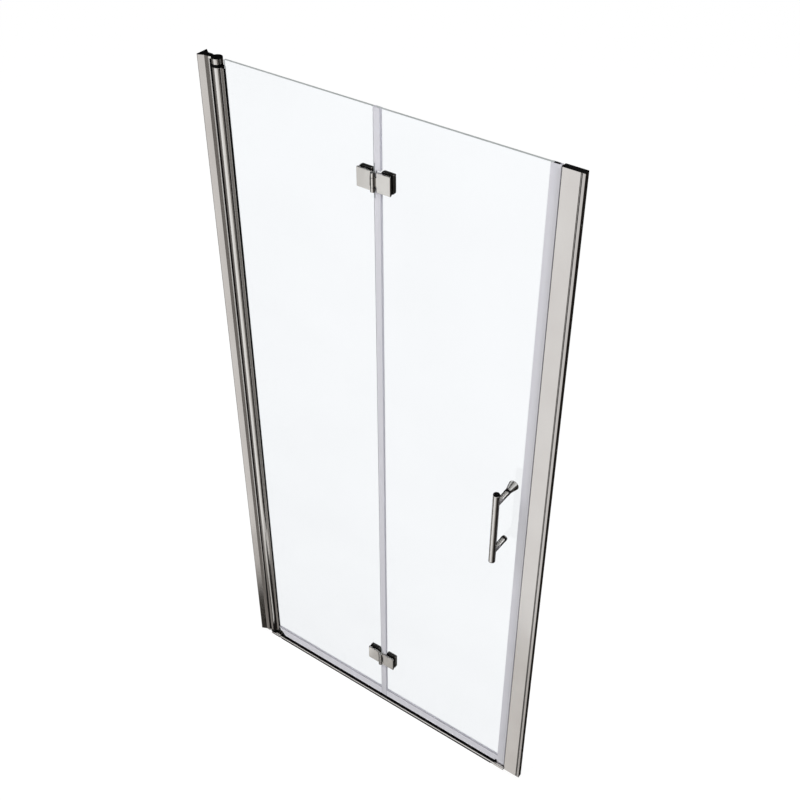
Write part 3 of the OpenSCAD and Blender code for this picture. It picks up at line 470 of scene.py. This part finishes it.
def mirror_share(tree):
    """1 for rays that the polished glass reflects, and 0 for all others."""
    path = add(tree, "ShaderNodeLightPath").outputs
    return calc(tree, "MULTIPLY", path["Is Singular Ray"], path["Is Reflection Ray"])


def seen_share(tree):
    """1 for rays from the camera, from gloss and through glass, and 0 for all others."""
    path = add(tree, "ShaderNodeLightPath").outputs
    first = calc(tree, "MAXIMUM", path["Is Camera Ray"], path["Is Glossy Ray"])
    return calc(tree, "MAXIMUM", first, path["Is Transmission Ray"])


def card(name, corners, tone, far_tone=None, fade=None, behind=False):
    """A studio card that the metal and the polymers reflect. The glass mirrors the dim world instead.

    With fade, the tone changes to far_tone between two places along Y. A card behind the door is
    also seen by reflections that pass through the glass.
    """
    bm = bmesh.new()
    bm.faces.new([bm.verts.new(c) for c in corners])
    made, tree, output = new_material(name + "_cloth")
    o = new_object(name, bm, made)
    glow = add(tree, "ShaderNodeEmission", {"Color": linear(tone), "Strength": 1.0})
    if fade:
        place = add(tree, "ShaderNodeTexCoord").outputs["Object"]
        along = add(tree, "ShaderNodeSeparateXYZ", {0: place}).outputs["Y"]
        share = add(tree, "ShaderNodeMapRange", {"Value": along, "From Min": fade[0], "From Max": fade[1]})
        tree.links.new(blend(tree, share.outputs[0], tone, far_tone), glow.inputs[0])
    depth = add(tree, "ShaderNodeLightPath").outputs["Glossy Depth"]
    hidden = calc(tree, "MAXIMUM", mirror_share(tree), calc(tree, "LESS_THAN", depth, 0.5))
    clear = add(tree, "ShaderNodeBsdfTransparent")
    shown = mix_shaders(tree, hidden, glow.outputs[0], clear.outputs[0])
    tree.links.new(shown, output.inputs[0])
    for ray in ("camera", "diffuse", "volume_scatter", "shadow"):
        setattr(o, "visible_" + ray, False)
    o.visible_transmission = behind


def level_card(name, low, high, z, tone, far_tone=None, fade=None):
    """A card that lies level at z between two corners."""
    (x0, y0), (x1, y1) = low, high
    card(name, [(x0, y0, z), (x1, y0, z), (x1, y1, z), (x0, y1, z)], tone, far_tone, fade)


def cards():
    """All the cards of the studio."""
    for name, (x0, y0), (x1, y1), (low, high), tone, behind in UPRIGHT_CARDS:
        card(name, [(x0, y0, low), (x1, y1, low), (x1, y1, high), (x0, y0, high)], tone, behind=behind)
    for row in LEVEL_CARDS:
        level_card(*row)
    card("jamb_floor_card", JAMB_FLOOR_CARD, "#E8E6E4")
    level_card("sill_card", *SILL_CARD, "#1C1A19")


def white_world():
    """A white world.

    It is dim in the glass's own reflection and in the reflection of a reflection, so that what is
    black stays black behind the glass and in the corners. The white behind the glass makes up for it.
    """
    world = bpy.data.worlds.new("studio")
    bpy.context.scene.world = world
    world.use_nodes = True
    tree = world.node_tree
    tree.nodes.clear()
    path = add(tree, "ShaderNodeLightPath").outputs
    gain = calc(tree, "MULTIPLY_ADD", path["Is Transmission Ray"], BEHIND_GLASS - 1, 1.0)
    bounced = calc(tree, "GREATER_THAN", path["Glossy Depth"], 0.5)
    light = calc(tree, "MULTIPLY_ADD", bounced, -WORLD_LOSS, WORLD_LIGHT)
    lit, shown, dim = (
        add(tree, "ShaderNodeBackground", {"Color": WHITE, "Strength": strength}).outputs[0]
        for strength in (light, gain, WORLD_DIM)
    )
    again = calc(tree, "GREATER_THAN", path["Glossy Depth"], 1.5)
    dimmed = calc(tree, "MAXIMUM", again, mirror_share(tree))
    settled = mix_shaders(tree, dimmed, mix_shaders(tree, seen_share(tree), lit, shown), dim)
    output = add(tree, "ShaderNodeOutputWorld")
    tree.links.new(settled, output.inputs[0])


def pale_floor():
    """A white floor that keeps a faint shadow. Rays that have met a glossy surface don't meet it."""
    bm = bmesh.new()
    bmesh.ops.create_grid(bm, x_segments=1, y_segments=1, size=FLOOR_HALF)
    bmesh.ops.translate(bm, verts=bm.verts, vec=(0, 0, FLOOR_Z))
    made, tree, output = new_material("pale_floor")
    floor = new_object("floor", bm, made)
    paint = add(tree, "ShaderNodeBsdfDiffuse", {"Color": linear(FLOOR_PAINT)}).outputs[0]
    glow = add(tree, "ShaderNodeEmission", {"Color": WHITE, "Strength": FLOOR_GLOW}).outputs[0]
    white = add(tree, "ShaderNodeEmission", {"Color": WHITE, "Strength": BEHIND_GLASS}).outputs[0]
    clear = add(tree, "ShaderNodeBsdfTransparent").outputs[0]
    path = add(tree, "ShaderNodeLightPath").outputs
    share = calc(tree, "MULTIPLY", path["Is Camera Ray"], FLOOR_GLOW_SHARE)
    mixed = mix_shaders(tree, share, paint, glow)
    through = mix_shaders(tree, path["Is Transmission Ray"], mixed, white)
    bounced = calc(tree, "GREATER_THAN", path["Glossy Depth"], 0.5)
    tree.links.new(mix_shaders(tree, bounced, through, clear), output.inputs[0])
    floor.visible_glossy = False


def lamps():
    """Two soft lamps that no glossy surface shows."""
    for name, place, size, power in LAMPS:
        lamp = bpy.data.lights.new(name, "AREA")
        lamp.size = size
        lamp.energy = power
        o = bpy.data.objects.new(name, lamp)
        bpy.context.scene.collection.objects.link(o)
        o.location = place
        o.rotation_euler = (LAMP_TARGET - o.location).to_track_quat("-Z", "Y").to_euler()
        o.visible_glossy = False


def camera():
    """The photograph's camera."""
    data = bpy.data.cameras.new("camera")
    data.lens = CAMERA_LENS
    data.sensor_width = SENSOR
    data.clip_end = 100
    o = bpy.data.objects.new("camera", data)
    bpy.context.scene.collection.objects.link(o)
    o.location = CAMERA_PLACE
    o.rotation_euler = (math.radians(CAMERA_TILT), 0, math.radians(CAMERA_TURN))
    bpy.context.scene.camera = o


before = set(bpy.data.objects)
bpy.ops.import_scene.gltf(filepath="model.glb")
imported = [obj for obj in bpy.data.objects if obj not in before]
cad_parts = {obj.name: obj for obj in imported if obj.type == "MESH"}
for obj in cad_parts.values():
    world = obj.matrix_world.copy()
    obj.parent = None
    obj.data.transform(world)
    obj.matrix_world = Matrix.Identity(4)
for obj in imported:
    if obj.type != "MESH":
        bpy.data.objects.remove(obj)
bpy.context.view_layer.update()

upright_nickel = nickel("brushed_nickel_upright", BRUSHED_UPRIGHT, "#CFCBC8", "#D6D3D0", 0.10, 0.16)
# The wall channel's lip gets a darker copy of the upright nickel: painted shade.
shaded_lip_nickel = nickel("brushed_nickel_lip_painted_shade", BRUSHED_UPRIGHT, "#BDB9B6", "#C4C0BD", 0.12, 0.18)
# The tube gets a lighter copy of the upright nickel: painted light.
lit_tube_nickel = nickel("brushed_nickel_tube_painted_light", BRUSHED_UPRIGHT, "#DAD8D5", "#E1DFDC", 0.10, 0.16)
sill_nickel = nickel("brushed_nickel_sill", BRUSHED_ALONG, "#CFCBC8", "#D6D3D0", 0.16, 0.26)
cast_nickel = nickel("satin_nickel_cast", CAST_GRAIN, "#D5D2CE", "#DCDAD6", 0.12, 0.20)
turned_nickel = nickel("satin_nickel_turned", TURNED_GRAIN, "#D8D6D3", "#E2E0DD", 0.12, 0.22)
moulded_nylon = dark_polymer("black_moulded_nylon", "#050505", "#0A0A0A", NYLON_GRAIN, 0.32, 0.45, 0.15)
extruded_rubber = dark_polymer("black_extruded_rubber", "#040404", "#090909", RUBBER_GRAIN, 0.5, 0.65, 0.25)
magnet_strip = dark_polymer("black_magnet_strip", "#6A6A6F", "#76767B", MAGNET_GRAIN, 0.45, 0.6, 0.2)
upright_vinyl = clear_vinyl("clear_vinyl_upright", "#E2E1E7", "#E7E6EB", 0.25, DRAWN_UPRIGHT)
# The bottom seals' vinyl has its grain along X and is a lighter copy of the upright vinyl: painted light.
lit_bottom_vinyl = clear_vinyl("clear_vinyl_along_painted_light", "#EEEDF3", "#F3F2F7", 0.25, DRAWN_ALONG)
# Darker vinyl for the seals' lips: painted shade along their edges.
bottom_lip_shade_vinyl = clear_vinyl("clear_vinyl_bottom_lip_painted_shade", "#474751", "#52525C", 0.1, LIP_GRAIN_ALONG)
upright_lip_shade_vinyl = clear_vinyl("clear_vinyl_upright_lip_painted_shade", "#BEBEC8", "#C8C8D2", 0.1, LIP_GRAIN_UPRIGHT)

dress(EXTRUSIONS, upright_nickel, METAL_EDGE)
dress(WALL_LIP, shaded_lip_nickel, METAL_EDGE)
dress(TUBE, lit_tube_nickel, METAL_EDGE)
dress(SILL_METAL, sill_nickel, METAL_EDGE)
dress(CAST_METAL, cast_nickel, METAL_EDGE)
dress(TURNED_METAL, turned_nickel, METAL_EDGE)
dress(STEEL, bright_steel(), 0)
dress(NYLON, moulded_nylon, MOULDED_EDGE)
dress(RUBBER, extruded_rubber, MOULDED_EDGE)
dress(MAGNETS, magnet_strip, MOULDED_EDGE)
dress(UPRIGHT_VINYL, upright_vinyl, 0)
dress(BOTTOM_VINYL, lit_bottom_vinyl, 0)
dress(GLASS, tempered_glass(), 0)
frost_edges(GLASS, ground_glass_edge(), moulded_nylon)

seal_shade_beads(bottom_lip_shade_vinyl, upright_lip_shade_vinyl)
rubber_trims(extruded_rubber)
hinge_covers(moulded_nylon)
handle_plugs(moulded_nylon)
bead("post_foot", *POST_FOOT, upright_nickel, "frame", "brushed_nickel")
for name in GLASS + UPRIGHT_VINYL + BOTTOM_VINYL:
    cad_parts[name].visible_shadow = False

white_world()
pale_floor()
lamps()
cards()
camera()
bpy.context.scene.view_settings.view_transform = "Standard"
